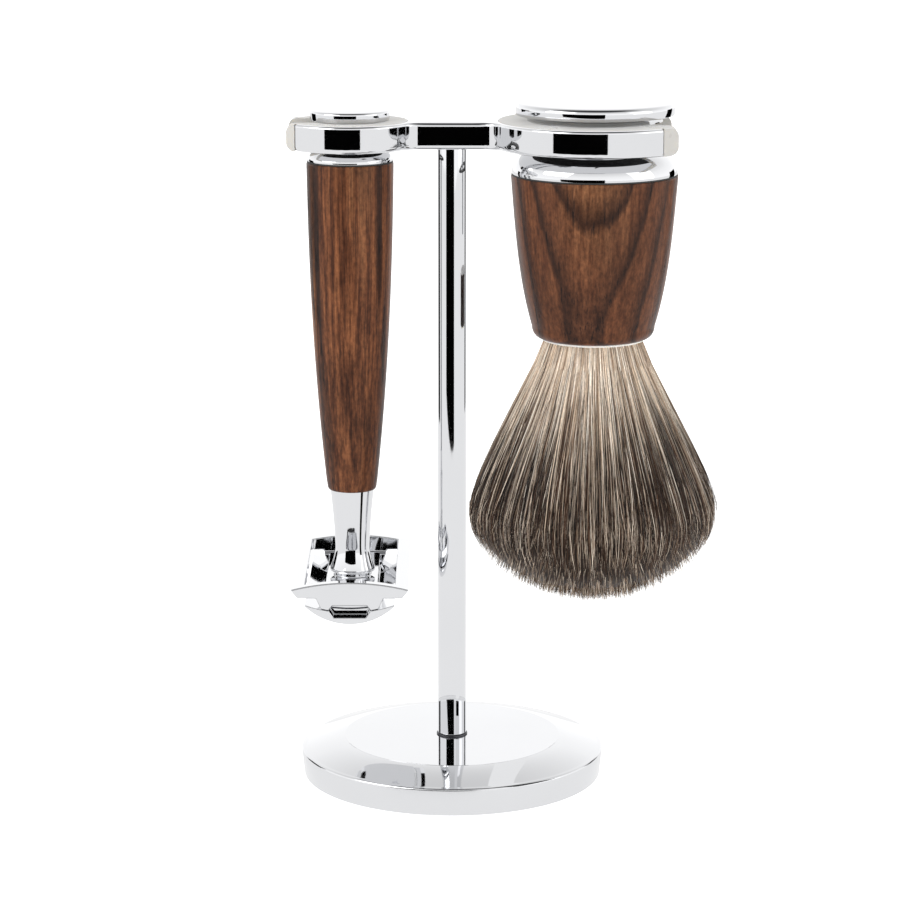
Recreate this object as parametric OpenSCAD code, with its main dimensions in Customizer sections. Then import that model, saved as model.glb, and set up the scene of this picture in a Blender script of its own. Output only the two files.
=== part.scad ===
// Table stand with two open rings, one holding a safety razor and one a shaving brush.
// Millimetres, +Z up. The origin is the centre of the base pad's underside, on the post's axis.
// The razor's ring is on -X and the brush's ring on +X, and both rings open outwards.

/* [Base] */
// Diameter of the base plate at its rim
base_d = 62; // [54:1:90]
// Height of the base plate's side
base_side_h = 5.7; // [5:0.1:12]
// Rise of the base plate's flat middle above its rim
base_rise = 2.1; // [0.5:0.1:4]
// Width of the slope between the base plate's rim and its flat middle
base_slope_w = 9.3; // [5:0.1:14]
// How far the side leans in, from the rim down to the floor
base_draft = 0.5; // [0:0.1:1]
// Thickness of the non-slip pad
pad_t = 1.3; // [0.8:0.1:2]
// How far the pad stands proud of the base plate
pad_proud = 0.3; // [0.1:0.1:0.6]
// Width of the base plate's rim outside the pad
pad_margin = 3; // [2:0.5:8]

/* [Post] */
// Diameter of the post
post_d = 5.8; // [5:0.1:8]
// Length of the post between its foot washer and the yoke
post_l = 121; // [90:1:160]
// Thickness of the washer under the post
foot_washer_t = 0.3; // [0.2:0.1:1]
// How far the foot washer stands out round the post
foot_washer_lip = 0.25; // [0:0.05:1]

/* [Fasteners] */
// Thread diameter of the base screw and the yoke stud
thread_d = 4; // [3:0.5:4]
// Diameter of the base screw's head
screw_head_d = 7; // [6:0.5:8]
// Height of the base screw's head
screw_head_h = 2.6; // [2:0.1:3]
// Length of the base screw under its head
screw_l = 16; // [12:1:25]
// Thickness of the washer under the screw's head
screw_washer_t = 0.6; // [0.4:0.1:0.8]
// Depth of the yoke stud in the post
stud_in_post = 9; // [6:0.5:15]
// Depth of the yoke stud in the yoke
stud_in_yoke = 3.4; // [2.5:0.1:3.8]

/* [Yoke] */
// Thickness of the yoke
yoke_t = 5.4; // [4.8:0.1:8]
// Width of the bar between the rings
bar_w = 9; // [8:0.5:12]
// Radius of the fillets between the bar and the rings
bar_fillet = 4; // [3:0.5:5]
// Distance from the post to the razor ring's centre
razor_reach = 20.3; // [19:0.1:30]
// Distance from the post to the brush ring's centre
brush_reach = 28.4; // [27:0.1:40]
// Outer diameter of the razor ring
razor_ring_d = 25; // [23:0.5:28]
// Outer diameter of the brush ring
brush_ring_d = 40.4; // [38:0.2:44]
// Angle between the rings' arms and their slots, at the arms' ends
arm_lean = 38; // [30:1:45]
// Distance from the razor ring's centre to the ends of its metal arms
razor_arm_l = 10.6; // [9.5:0.1:12]
// Distance from the brush ring's centre to the ends of its metal arms
brush_arm_l = 12.7; // [11:0.1:16]

/* [Liners] */
// Thickness of the liners' walls
liner_wall = 1; // [0.8:0.1:1.4]
// Thickness of the liners' top flanges
flange_t = 0.8; // [0.5:0.1:1.2]
// Width of the metal rim outside the liners' flanges
ring_rim = 1; // [0.8:0.1:2]
// Length of the razor ring's liner past the ends of the arms
razor_nose_l = 1.8; // [1.2:0.1:2.2]
// Length of the brush ring's liner past the ends of the arms
brush_nose_l = 3.1; // [2:0.1:4]
// Radius of the liners' rounded noses
nose_r = 1.7; // [0.5:0.1:2]

/* [Razor handle] */
// Diameter of the groove that hangs in the razor's ring
razor_groove_d = 7; // [6:0.1:8]
// Diameter of the razor's end cap
razor_cap_d = 15.9; // [14:0.1:18]
// Height of the end cap's side
razor_cap_h = 2.1; // [1.5:0.1:4]
// Rise of the end cap's domed top
razor_cap_dome = 0.45; // [0.1:0.05:1]
// Height of the collar between the ring and the wooden grip
razor_collar_h = 2.1; // [1.5:0.1:5]
// Diameter of the wooden grip at its top
grip_d = 17.4; // [16:0.1:20]
// Diameter of the wooden grip at its lower end
grip_end_d = 9.9; // [9.5:0.1:12]
// Length of the wooden grip
grip_l = 66.6; // [50:0.1:90]
// Diameter of the metal neck where it leaves the grip
neck_top_d = 8.9; // [8:0.1:9.4]
// Smallest diameter of the metal neck
neck_waist_d = 7; // [6.5:0.1:8]
// Diameter of the neck's flared foot
neck_foot_d = 9.2; // [8.5:0.1:10.4]
// Length of the tapered part of the neck
neck_taper_l = 12; // [8:0.5:25]
// Length of the flared foot
neck_foot_l = 5; // [4:0.5:8]
// Diameter of the rod that ties the handle together
tie_rod_d = 4; // [3:0.5:4]
// Thickness of the seals between metal and wood
seal_t = 0.3; // [0.2:0.1:0.6]

/* [Razor head] */
// Length of the razor's head
head_l = 42.5; // [41:0.1:44]
// Width of the guard plate
guard_w = 23.6; // [22.5:0.1:26]
// Height of the guard plate's crown at its ends
guard_crown = 1.5; // [0.8:0.1:2.5]
// Thickness of the safety bars
guard_bar_t = 1.7; // [1.2:0.1:2.2]
// Length of the lather slots
slot_l = 34; // [24:0.5:36]
// Width of the lather slots
slot_w = 3.7; // [2.5:0.1:4]
// Diameter of the boss that the handle stands on
boss_d = 7.4; // [6.5:0.1:8]
// Width of the cap's curved edge to edge chord
cap_chord = 17.8; // [17:0.1:19]
// Drop of the cap's crown below its edges
cap_drop = 3.6; // [3:0.1:5]
// Thickness of the cap's two long edges
cap_edge_t = 0.3; // [0.2:0.05:0.6]
// Thickness of the blade that the head clamps
blade_gap = 0.1; // [0.1:0.01:0.2]
// Radius that the blade is bent to
blade_bend_r = 26; // [22:1:34]
// Diameter of the cap's threaded stud
stud_d = 5; // [4:0.5:5]
// Length of the stud inside the neck
stud_engage = 8; // [6:0.5:9]
// Diameter of the cap's locating pins
pin_d = 3; // [2:0.1:3.4]
// Distance between the cap's locating pins
pin_spacing = 26; // [20:0.5:30]

/* [Brush] */
// Diameter of the groove that hangs in the brush's ring
brush_groove_d = 16.2; // [14:0.1:17]
// Diameter of the brush's end cap
brush_cap_d = 31.8; // [29:0.1:34]
// Height of the end cap's side
brush_cap_h = 2.4; // [1.5:0.1:6]
// Height of the end cap's bevelled underside
brush_cap_bevel = 1.25; // [0.5:0.05:3]
// Rise of the end cap's domed top
brush_cap_dome = 0.6; // [0.1:0.05:2]
// Height of the collar between the ring and the wooden handle
brush_collar_h = 4.6; // [2:0.1:8]
// Diameter of the wooden handle at its top
handle_d = 33.4; // [31:0.1:37]
// Length of the wooden handle
handle_l = 32.9; // [28:0.1:45]
// Diameter of the knot where it leaves the handle
knot_d = 20.6; // [18:0.1:22]
// Widest diameter of the knot
knot_spread_d = 50.2; // [36:0.2:54]
// Free length of the knot's hair
knot_l = 53.6; // [45:0.1:60]
// Wall of the knot's socket
socket_wall = 0.5; // [0.4:0.1:1]
// Depth of the knot's socket in the handle
socket_depth = 11; // [8:0.5:12]

/* [Clearances] */
// Gap between the rings' slots and the grooves that hang in them, on each side
hang_gap = 0.4; // [0.2:0.05:0.8]
// Gap under the rings, above the collars
collar_gap = 0.4; // [0.2:0.1:1]
// Gap between faces that rest on each other
rest_gap = 0.05; // [0.02:0.01:0.1]
// Radial gap round screws, studs and rods
thread_gap = 0.03; // [0.01:0.01:0.06]
// Gap round pieces that are pressed or glued in
fit_gap = 0.04; // [0.02:0.01:0.1]

/* [Hidden] */
$fn = 72;

chrome = "gainsboro";
cream = "antiquewhite";
wood = "sienna";
arc_steps = 10;      // straight pieces in a rounded edge
curve_steps = 40;    // straight pieces in a long turned curve
past = 1;            // how far a cut runs past the face that it opens

// Heights of the stand
base_low = pad_proud;
base_rim_z = base_low + base_side_h;
base_mid_z = base_rim_z + base_rise;
post_low = base_mid_z + foot_washer_t;
yoke_low = post_low + post_l;
yoke_top = yoke_low + yoke_t;
screw_seat_z = pad_t + screw_head_h + screw_washer_t;
head_pocket_r = screw_head_d / 2 + 1;

// Rings: outer radius, half width of the liner's slot, arm length and nose length
razor_slot = razor_groove_d / 2 + hang_gap;
brush_slot = brush_groove_d / 2 + hang_gap;
razor_ring = [razor_ring_d / 2, razor_slot, razor_arm_l, razor_nose_l];
brush_ring = [brush_ring_d / 2, brush_slot, brush_arm_l, brush_nose_l];

// Heights of the two hanging pieces, from the faces that rest on the liners
seat_z = yoke_top + rest_gap;
collar_top = yoke_low - collar_gap;
grip_top = collar_top - razor_collar_h - seal_t;
grip_low = grip_top - grip_l;
neck_waist_z = grip_low - neck_taper_l;
neck_low = neck_waist_z - neck_foot_l;
spigot_l = 5;
razor_spigot_r = 4.5;
neck_spigot_r = 3;
tie_rod_l = grip_l + 3;
tie_rod_low = grip_low - 3;
tapped_depth = 11;

// Razor head, from the boss that the neck stands on
boss_top = neck_low - rest_gap;
guard_floor_z = boss_top - 0.9;
guard_edge_z = boss_top + 1.1;
guard_bed_z = guard_floor_z - 2.5;
guard_bed_half = 5.7;
guard_pocket_half = 9;
guard_wall = 2.2;
guard_bar_low = guard_edge_z - guard_bar_t;
guard_edge_in = 1.35;
guard_crown_r = (pow(guard_w / 2, 2) + pow(guard_crown, 2)) / (2 * guard_crown);
cap_in_z = guard_bed_z - blade_gap;
cap_edge_z = cap_in_z + pow(cap_chord / 2, 2) / (2 * blade_bend_r) - cap_edge_t;
cap_out_r = (pow(cap_chord / 2, 2) + pow(cap_drop, 2)) / (2 * cap_drop);
cap_floor_z = cap_edge_z - cap_drop + 1.3;
window_half = 4.2;
window_depth = 3;

// Brush
handle_top = collar_top - brush_collar_h - seal_t;
handle_low = handle_top - handle_l;
handle_end_r = knot_d / 2 + 0.15;
handle_round = 2.4;
brush_spigot_r = 9;
brush_spigot_l = 6;
tie_screw_d = 5;
tie_screw_l = 20;
tie_screw_low = handle_top - 14;
socket_lip_t = 0.4;
socket_r = knot_d / 2 - 0.4;
hair_top = handle_low + 3.5;
plug_top = handle_low + socket_depth - socket_wall;
hair_low = handle_low - knot_l;
hair_bulge_z = hair_low + 18;

// Points on an elliptical arc, for profiles
function arc(cx, cy, rx, ry, from, to, n = arc_steps) =
    [for (i = [0:n]) let (a = from + (to - from) * i / n) [cx + rx * cos(a), cy + ry * sin(a)]];

module turned(points) {
    rotate_extrude() polygon(points);
}

module bore(r, low, high) {
    translate([0, 0, low]) cylinder(r = r, h = high - low);
}

// ---- stand ----

module base_plate() {
    r = base_d / 2;
    pad_r = r - pad_margin;
    color(chrome) difference() {
        turned(concat(
            [[0, base_low], [r - base_draft - 0.2, base_low], [r - base_draft, base_low + 0.2]],
            arc(r - 0.4, base_rim_z - 0.4, 0.4, 0.4, 0, 70),
            [for (i = [0:arc_steps]) let (s = i / arc_steps)
                [r - 0.7 - (base_slope_w - 0.7) * s, base_rim_z + base_rise * (1.25 * s - 0.25 * s * s * s)]],
            [[0, base_mid_z]]));
        bore(pad_r + fit_gap, base_low - past, pad_t);
        bore(head_pocket_r, base_low - past, screw_seat_z);
        bore(thread_d / 2 + 0.2, base_low, base_mid_z + past);
    }
}

module base_pad() {
    color("dimgray") bore(base_d / 2 - pad_margin, 0, pad_t);
}

module base_screw() {
    head_low = screw_seat_z - screw_washer_t - screw_head_h;
    color("silver") difference() {
        union() {
            bore(screw_head_d / 2, head_low, screw_seat_z - screw_washer_t);
            bore(thread_d / 2, head_low + 0.5, screw_seat_z - screw_washer_t + screw_l);
        }
        translate([0, 0, head_low - past]) cylinder(d = thread_d * 0.86, h = past + 1.8, $fn = 6);
    }
}

module base_screw_washer() {
    color("silver") difference() {
        bore(head_pocket_r - 0.2, screw_seat_z - screw_washer_t, screw_seat_z);
        bore(thread_d / 2 + 0.15, screw_seat_z - past - screw_washer_t, screw_seat_z + past);
    }
}

module post_foot_washer() {
    color("gray") difference() {
        bore(post_d / 2 + foot_washer_lip, base_mid_z, post_low);
        bore(thread_d / 2 + 0.15, base_mid_z - past, post_low + past);
    }
}

module post() {
    screw_top = screw_seat_z - screw_washer_t + screw_l;
    color(chrome) difference() {
        bore(post_d / 2, post_low, yoke_low);
        bore(thread_d / 2 + thread_gap, post_low - past, screw_top + 1);
        bore(thread_d / 2 + thread_gap, yoke_low - stud_in_post - 0.5, yoke_low + past);
    }
}

module yoke_stud() {
    color("silver") bore(thread_d / 2, yoke_low - stud_in_post, yoke_low + stud_in_yoke);
}

// Places a ring's own frame, with its opening along +X, on the yoke
module at_ring(side) {
    x = side < 0 ? -razor_reach : brush_reach;
    translate([x, 0, yoke_low]) rotate(side < 0 ? 180 : 0) children();
}

// Plan of a ring and its two arms, taken in all round by inset and ending at x_end
module ring_plan(r, inset, x_end) {
    ri = r - inset;
    ey = ri * cos(arm_lean) - (x_end - ri * sin(arm_lean)) * tan(arm_lean);
    polygon(concat([[x_end, ey]], arc(0, 0, ri, ri, 90 - arm_lean, 270 + arm_lean, 60), [[x_end, -ey]]));
}

module slot_plan(half, length) {
    polygon(concat([[length, half]], arc(0, 0, half, half, 90, 270, 36), [[length, -half]]));
}

// Half of a ring's outline in the ring's frame: arm, round part and hollow fillet
function half_outline(ring) =
    let (r = ring[0], span = r + bar_fillet, y = bar_w / 2 + bar_fillet,
        at = [-sqrt(span * span - y * y), y], meet = atan2(at[1], at[0]),
        arm_y = r * cos(arm_lean) - (ring[2] - r * sin(arm_lean)) * tan(arm_lean))
    concat([[ring[2], arm_y]],
        arc(0, 0, r, r, 90 - arm_lean, meet - 2, 36),
        arc(at[0], at[1], bar_fillet, bar_fillet, meet + 178, 270, 12));

// Outline of the whole yoke, anticlockwise from the end of the brush ring's rear arm
function yoke_outline() =
    let (a = half_outline(brush_ring), b = half_outline(razor_ring), an = len(a) - 1, bn = len(b) - 1)
    concat(
        [for (p = a) [brush_reach + p[0], p[1]]],
        [for (i = [bn:-1:0]) [-razor_reach - b[i][0], b[i][1]]],
        [for (p = b) [-razor_reach - p[0], -p[1]]],
        [for (i = [an:-1:0]) [brush_reach + a[i][0], -a[i][1]]]);

module ring_cuts(ring) {
    r = ring[0];
    half = ring[1] + liner_wall;
    translate([0, 0, -past]) linear_extrude(yoke_t + 2 * past) slot_plan(half, 2 * r);
    translate([0, 0, yoke_t - flange_t]) linear_extrude(flange_t + past)
        ring_plan(r, ring_rim, ring[2] + past);
}

module yoke() {
    color(chrome) difference() {
        translate([0, 0, yoke_low]) linear_extrude(yoke_t) polygon(yoke_outline());
        at_ring(-1) ring_cuts(razor_ring);
        at_ring(1) ring_cuts(brush_ring);
        bore(thread_d / 2 + thread_gap, yoke_low - past, yoke_low + stud_in_yoke + 0.2);
    }
}

// Plastic lining of one ring: slot wall, top flange and a rounded nose on each arm
module ring_liner(ring) {
    r = ring[0];
    half = ring[1];
    tip = ring[2];
    nose_end = tip + ring[3];
    color(cream) difference() {
        union() {
            linear_extrude(yoke_t) intersection() {
                slot_plan(half + liner_wall - fit_gap, 2 * r);
                translate([-r, -r]) square([r + tip + fit_gap, 2 * r]);
            }
            translate([0, 0, yoke_t - flange_t + fit_gap]) linear_extrude(flange_t - fit_gap)
                ring_plan(r, ring_rim + fit_gap, tip + fit_gap);
            intersection() {
                linear_extrude(yoke_t) ring_plan(r, 0.1, nose_end);
                translate([0, r, 0]) rotate([90, 0, 0]) linear_extrude(2 * r) polygon(concat(
                    [[tip + fit_gap, 0.05]],
                    arc(nose_end - nose_r, nose_r, nose_r, nose_r - 0.05, -90, 0),
                    arc(nose_end - nose_r, yoke_t - nose_r, nose_r, nose_r, 0, 90),
                    [[tip + fit_gap, yoke_t]]));
            }
        }
        translate([0, 0, -past]) linear_extrude(yoke_t + 2 * past) slot_plan(half, 2 * r);
    }
}

module razor_ring_liner() {
    at_ring(-1) ring_liner(razor_ring);
}

module brush_ring_liner() {
    at_ring(1) ring_liner(brush_ring);
}

// ---- razor handle ----

module at_razor() {
    translate([-razor_reach, 0, 0]) children();
}

module razor_end_cap() {
    r = razor_cap_d / 2;
    g = razor_groove_d / 2;
    c = grip_d / 2;
    low = collar_top - razor_collar_h;
    color(chrome) at_razor() difference() {
        turned(concat(
            [[0, low - spigot_l], [razor_spigot_r, low - spigot_l], [razor_spigot_r, low], [c - 0.15, low]],
            arc(c - 2.6, low, 2.5, razor_collar_h, 5, 90),
            [[g, collar_top], [g, seat_z], [r - 0.5, seat_z]],
            arc(r - 0.35, seat_z + 0.35, 0.35, 0.35, -90, 0, 4),
            arc(r - 0.35, seat_z + razor_cap_h - 0.35, 0.35, 0.35, 0, 75, 5),
            [for (i = [1:arc_steps]) let (s = 1 - i / arc_steps)
                [(r - 0.3) * s, seat_z + razor_cap_h + razor_cap_dome * (1 - s * s)]]));
        bore(tie_rod_d / 2 + thread_gap, low - spigot_l - past, tie_rod_low + tie_rod_l + 0.5);
    }
}

module razor_grip_seal() {
    color("black") at_razor() difference() {
        bore(grip_d / 2 - 0.12, grip_top, grip_top + seal_t);
        bore(razor_spigot_r + fit_gap, grip_top - past, grip_top + seal_t + past);
    }
}

// Radius of the wooden grip at a share s of the way down it
function grip_r(s) = grip_d / 2 - (grip_d - grip_end_d) / 2 * (0.24 * s + 0.76 * pow(s, 2.3));

module razor_grip() {
    end_round = 1.1;
    color(wood) at_razor() difference() {
        turned(concat(
            [[0, grip_low], [neck_top_d / 2 + 0.05, grip_low]],
            arc(grip_end_d / 2 - 0.35, grip_low + end_round, 0.42, end_round, -90, 0, 5),
            [for (i = [curve_steps - 1:-1:0]) let (s = i / curve_steps * (1 - end_round / grip_l))
                [grip_r(s), grip_top - grip_l * s]],
            [[0, grip_top]]));
        bore(tie_rod_d / 2 + 0.3, grip_low - past, grip_top + past);
        bore(razor_spigot_r + fit_gap, grip_top - spigot_l - 0.1 + seal_t, grip_top + past);
        bore(neck_spigot_r + fit_gap, grip_low - past, grip_low + spigot_l + 0.1);
    }
}

module razor_tie_rod() {
    color("silver") at_razor() bore(tie_rod_d / 2, tie_rod_low, tie_rod_low + tie_rod_l);
}

module razor_neck() {
    top_r = neck_top_d / 2;
    waist_r = neck_waist_d / 2;
    foot_r = neck_foot_d / 2;
    color(chrome) at_razor() difference() {
        turned(concat(
            [[0, neck_low], [foot_r - 0.25, neck_low], [foot_r, neck_low + 0.25], [foot_r, neck_low + 0.5]],
            [for (i = [1:arc_steps]) let (s = 1 - i / arc_steps)
                [waist_r + (foot_r - waist_r) * pow(s, 1.7), neck_waist_z - (neck_foot_l - 0.5) * s]],
            [for (i = [1:arc_steps]) let (s = i / arc_steps)
                [waist_r + (top_r - waist_r) * pow(s, 1.4), neck_waist_z + neck_taper_l * s]],
            [[neck_spigot_r, grip_low], [neck_spigot_r, grip_low + spigot_l], [0, grip_low + spigot_l]]));
        bore(stud_d / 2 + thread_gap, neck_low - past, neck_low + tapped_depth);
        bore(tie_rod_d / 2 + thread_gap, tie_rod_low - 0.3, grip_low + spigot_l + past);
    }
}

// ---- razor head ----

// Lays a profile drawn across the head along the head's length
module along_head(length, from = undef) {
    start = is_undef(from) ? -length / 2 : from;
    translate([0, start + length, 0]) rotate([90, 0, 0]) linear_extrude(length) children();
}

// Height of the bent blade's upper face at a distance x from the middle
function bed_z(x) = guard_bed_z + x * x / (2 * blade_bend_r);

module guard_profile() {
    w = guard_w / 2;
    polygon(concat(
        [for (i = [-arc_steps:arc_steps]) let (x = w * i / arc_steps)
            [x, guard_edge_z + guard_crown - guard_crown_r + sqrt(guard_crown_r * guard_crown_r - x * x)]],
        [[w - guard_edge_in, guard_bar_low], [guard_bed_half + 1, guard_bar_low]],
        [for (i = [arc_steps:-1:-arc_steps]) let (x = guard_bed_half * i / arc_steps) [x, bed_z(x)]],
        [[-guard_bed_half - 1, guard_bar_low], [guard_edge_in - w, guard_bar_low]]));
}

// Six-sided window between the plate and the cap at each end of the head
module window_cut() {
    mid = bed_z(window_half);
    for (from = [-head_l / 2 - past, head_l / 2 - window_depth])
        along_head(window_depth + past, from) polygon([
            [-window_half, mid], [-window_half + 0.8, mid + 1], [window_half - 0.8, mid + 1],
            [window_half, mid], [window_half - 1, cap_floor_z], [1 - window_half, cap_floor_z]]);
}

module razor_guard_plate() {
    inner_l = head_l - 2 * guard_wall;
    color(chrome) at_razor() difference() {
        union() {
            difference() {
                along_head(head_l) guard_profile();
                translate([-guard_pocket_half, -inner_l / 2, guard_floor_z])
                    cube([2 * guard_pocket_half, inner_l, guard_crown + 5]);
            }
            bore(boss_d / 2, guard_floor_z - 0.5, boss_top);
        }
        for (side = [-1, 1]) translate([side * (guard_pocket_half - slot_w / 2) - slot_w / 2, -slot_l / 2, 0])
            translate([0, 0, guard_bed_z - past]) cube([slot_w, slot_l, 5]);
        for (y = [-pin_spacing / 2, pin_spacing / 2]) translate([0, y, 0])
            bore(pin_d / 2 + 0.1, guard_bed_z - past, guard_floor_z + past);
        bore(stud_d / 2 + 0.08, guard_bed_z - past, boss_top + past);
        window_cut();
    }
}

module razor_top_cap() {
    w = cap_chord / 2;
    centre_z = cap_edge_z - cap_drop + cap_out_r;
    half_angle = asin(w / cap_out_r);
    color(chrome) at_razor() {
        difference() {
            along_head(head_l) polygon(concat(
                [for (i = [-arc_steps:arc_steps]) let (x = w * i / arc_steps) [x, bed_z(x) - blade_gap]],
                [for (i = [2 * arc_steps:-1:-2 * arc_steps]) let (a = half_angle * i / (2 * arc_steps))
                    [cap_out_r * sin(a), centre_z - cap_out_r * cos(a)]]));
            window_cut();
        }
        bore(stud_d / 2, cap_in_z - 0.6, boss_top + rest_gap + stud_engage);
        for (y = [-pin_spacing / 2, pin_spacing / 2]) translate([0, y, 0])
            bore(pin_d / 2, cap_in_z - 0.6, guard_floor_z + 0.9);
    }
}

// ---- brush ----

module at_brush() {
    translate([brush_reach, 0, 0]) children();
}

module brush_end_cap() {
    r = brush_cap_d / 2;
    g = brush_groove_d / 2;
    c = handle_d / 2;
    low = collar_top - brush_collar_h;
    side_low = seat_z + brush_cap_bevel;
    side_top = side_low + brush_cap_h;
    color(chrome) at_brush() difference() {
        turned(concat(
            [[0, low - brush_spigot_l], [brush_spigot_r, low - brush_spigot_l], [brush_spigot_r, low],
                [c - 0.15, low]],
            arc(c - 5.3, low, 5.2, brush_collar_h, 4, 90, 16),
            [[g, collar_top], [g, seat_z]],
            arc(r - 0.2, seat_z, 2.2, brush_cap_bevel, 180, 90, 8),
            arc(r - 0.4, side_top - 0.4, 0.4, 0.4, 0, 75, 5),
            [for (i = [1:2 * arc_steps]) let (s = 1 - i / (2 * arc_steps))
                [(r - 0.3) * s, side_top + brush_cap_dome * (1 - s * s)]]));
        bore(tie_screw_d / 2 + thread_gap, low - brush_spigot_l - past, tie_screw_low + tie_screw_l + 0.5);
    }
}

module brush_handle_seal() {
    color("black") at_brush() difference() {
        bore(handle_d / 2 - 0.12, handle_top, handle_top + seal_t);
        bore(brush_spigot_r + fit_gap, handle_top - past, handle_top + seal_t + past);
    }
}

// Radius of the wooden handle at a share s of the way down it
function handle_r(s) = handle_d / 2 - (handle_d / 2 - 11.6) * (0.515 * s + 0.485 * pow(s, 3.4));

module brush_handle() {
    round_s = 1 - handle_round / handle_l;
    round_r = handle_r(round_s);
    color(wood) at_brush() difference() {
        turned(concat(
            [[0, handle_low]],
            arc(handle_end_r - 0.1, handle_low + handle_round, round_r - handle_end_r + 0.1,
                handle_round, -90, -8),
            [for (i = [curve_steps:-1:0]) let (s = i / curve_steps * round_s)
                [handle_r(s), handle_top - handle_l * s]],
            [[0, handle_top]]));
        bore(brush_spigot_r + fit_gap, handle_top - brush_spigot_l - 0.1 + seal_t, handle_top + past);
        bore(tie_screw_d / 2 + thread_gap, tie_screw_low - 0.5, handle_top);
        bore(socket_r + fit_gap, handle_low - past, handle_low + socket_depth + 0.1);
    }
}

module brush_tie_screw() {
    color("silver") at_brush() bore(tie_screw_d / 2, tie_screw_low, tie_screw_low + tie_screw_l);
}

module knot_socket() {
    color(cream) at_brush() difference() {
        union() {
            bore(socket_r, handle_low - 0.1, handle_low + socket_depth);
            bore(knot_d / 2, handle_low - socket_lip_t, handle_low - 0.02);
        }
        bore(socket_r - socket_wall, handle_low - past, handle_low + socket_depth - socket_wall);
    }
}

module knot_plug() {
    color("khaki") at_brush() bore(socket_r - socket_wall - fit_gap, hair_top, plug_top);
}

// Radius of the knot from the handle (s = 0) down to its widest place (s = 1)
function knot_r(s) = let (a = socket_r - socket_wall - fit_gap, b = knot_spread_d / 2)
    a + (b - a) * (1.13 * s - 0.13 * pow(s, 6));

module hair_knot() {
    low = handle_low - socket_lip_t;
    flare_l = low - hair_bulge_z;
    color("tan") at_brush() turned(concat(
        [[0, hair_low]],
        arc(0, hair_bulge_z, knot_spread_d / 2, hair_bulge_z - hair_low, -80, 0, 14),
        [for (i = [20:-1:0]) let (s = i / 20) [knot_r(s), low - flare_l * s]],
        [[socket_r - socket_wall - fit_gap, hair_top], [0, hair_top]]));
}

base_plate();
base_pad();
base_screw();
base_screw_washer();
post_foot_washer();
post();
yoke_stud();
yoke();
razor_ring_liner();
brush_ring_liner();
razor_end_cap();
razor_grip_seal();
razor_grip();
razor_tie_rod();
razor_neck();
razor_guard_plate();
razor_top_cap();
brush_end_cap();
brush_handle_seal();
brush_handle();
brush_tie_screw();
knot_socket();
knot_plug();
hair_knot();
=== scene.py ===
import bpy, bmesh, math, random
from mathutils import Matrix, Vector


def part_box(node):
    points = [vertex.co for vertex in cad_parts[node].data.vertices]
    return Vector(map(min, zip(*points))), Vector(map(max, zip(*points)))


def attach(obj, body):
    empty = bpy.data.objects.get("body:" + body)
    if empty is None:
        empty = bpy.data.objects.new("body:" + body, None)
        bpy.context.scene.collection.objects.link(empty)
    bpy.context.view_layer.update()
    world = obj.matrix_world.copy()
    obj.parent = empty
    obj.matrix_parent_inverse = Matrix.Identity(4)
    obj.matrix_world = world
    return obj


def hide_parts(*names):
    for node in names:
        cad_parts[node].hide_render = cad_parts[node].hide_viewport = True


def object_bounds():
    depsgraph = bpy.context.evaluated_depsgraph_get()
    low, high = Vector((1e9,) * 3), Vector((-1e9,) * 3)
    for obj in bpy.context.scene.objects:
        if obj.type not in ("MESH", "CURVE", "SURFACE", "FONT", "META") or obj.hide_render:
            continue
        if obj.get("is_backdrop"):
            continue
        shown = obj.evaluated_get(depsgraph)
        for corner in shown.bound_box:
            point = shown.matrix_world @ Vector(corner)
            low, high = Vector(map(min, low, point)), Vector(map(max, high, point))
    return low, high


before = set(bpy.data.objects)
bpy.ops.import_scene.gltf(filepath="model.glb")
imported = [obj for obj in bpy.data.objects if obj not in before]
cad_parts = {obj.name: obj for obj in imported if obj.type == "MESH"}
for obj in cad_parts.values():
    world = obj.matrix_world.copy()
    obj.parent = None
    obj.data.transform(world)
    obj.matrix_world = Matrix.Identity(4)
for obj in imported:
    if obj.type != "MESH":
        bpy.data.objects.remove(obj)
cad_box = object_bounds()
MM = 0.001
rng = random.Random(7)
scene = bpy.context.scene
deg = math.radians


# ---------------------------------------------------------------- places read from the frame
def low(node_name):
    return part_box(node_name)[0]


def high(node_name):
    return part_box(node_name)[1]


def centre_x(node_name):
    return (low(node_name)[0] + high(node_name)[0]) / 2


def heights(node_name):
    """A node's lowest and highest point in millimetres."""
    return low(node_name).z / MM, high(node_name).z / MM


RAZOR_X = centre_x("razor_grip")
BRUSH_X = centre_x("brush_handle")


# ---------------------------------------------------------------- node material helpers
def new_material(name):
    mat = bpy.data.materials.new(name)
    mat.use_nodes = True
    nt = mat.node_tree
    nt.nodes.clear()
    out = nt.nodes.new("ShaderNodeOutputMaterial")
    bsdf = nt.nodes.new("ShaderNodeBsdfPrincipled")
    nt.links.new(bsdf.outputs["BSDF"], out.inputs["Surface"])
    return mat, nt, bsdf


def node(nt, kind, **values):
    n = nt.nodes.new(kind)
    for key, value in values.items():
        n.inputs[key].default_value = value
    return n


def link(nt, a, b):
    nt.links.new(a, b)


def coords(nt, scale=(1, 1, 1), at=(0, 0, 0)):
    """Object coordinates in metres, scaled and then shifted."""
    place = nt.nodes.new("ShaderNodeTexCoord")
    mapping = node(nt, "ShaderNodeMapping", Location=at, Scale=scale)
    link(nt, place.outputs["Object"], mapping.inputs["Vector"])
    return mapping.outputs["Vector"]


def axes(nt):
    """Object coordinates as separate X, Y and Z outputs."""
    place = nt.nodes.new("ShaderNodeTexCoord")
    split = nt.nodes.new("ShaderNodeSeparateXYZ")
    link(nt, place.outputs["Object"], split.inputs[0])
    return split.outputs


def noise(nt, vec, scale, detail=4, rough=0.5, dist=0.0):
    n = node(nt, "ShaderNodeTexNoise", Scale=scale, Detail=detail, Roughness=rough, Distortion=dist)
    link(nt, vec, n.inputs["Vector"])
    return n.outputs["Fac"]


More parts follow.
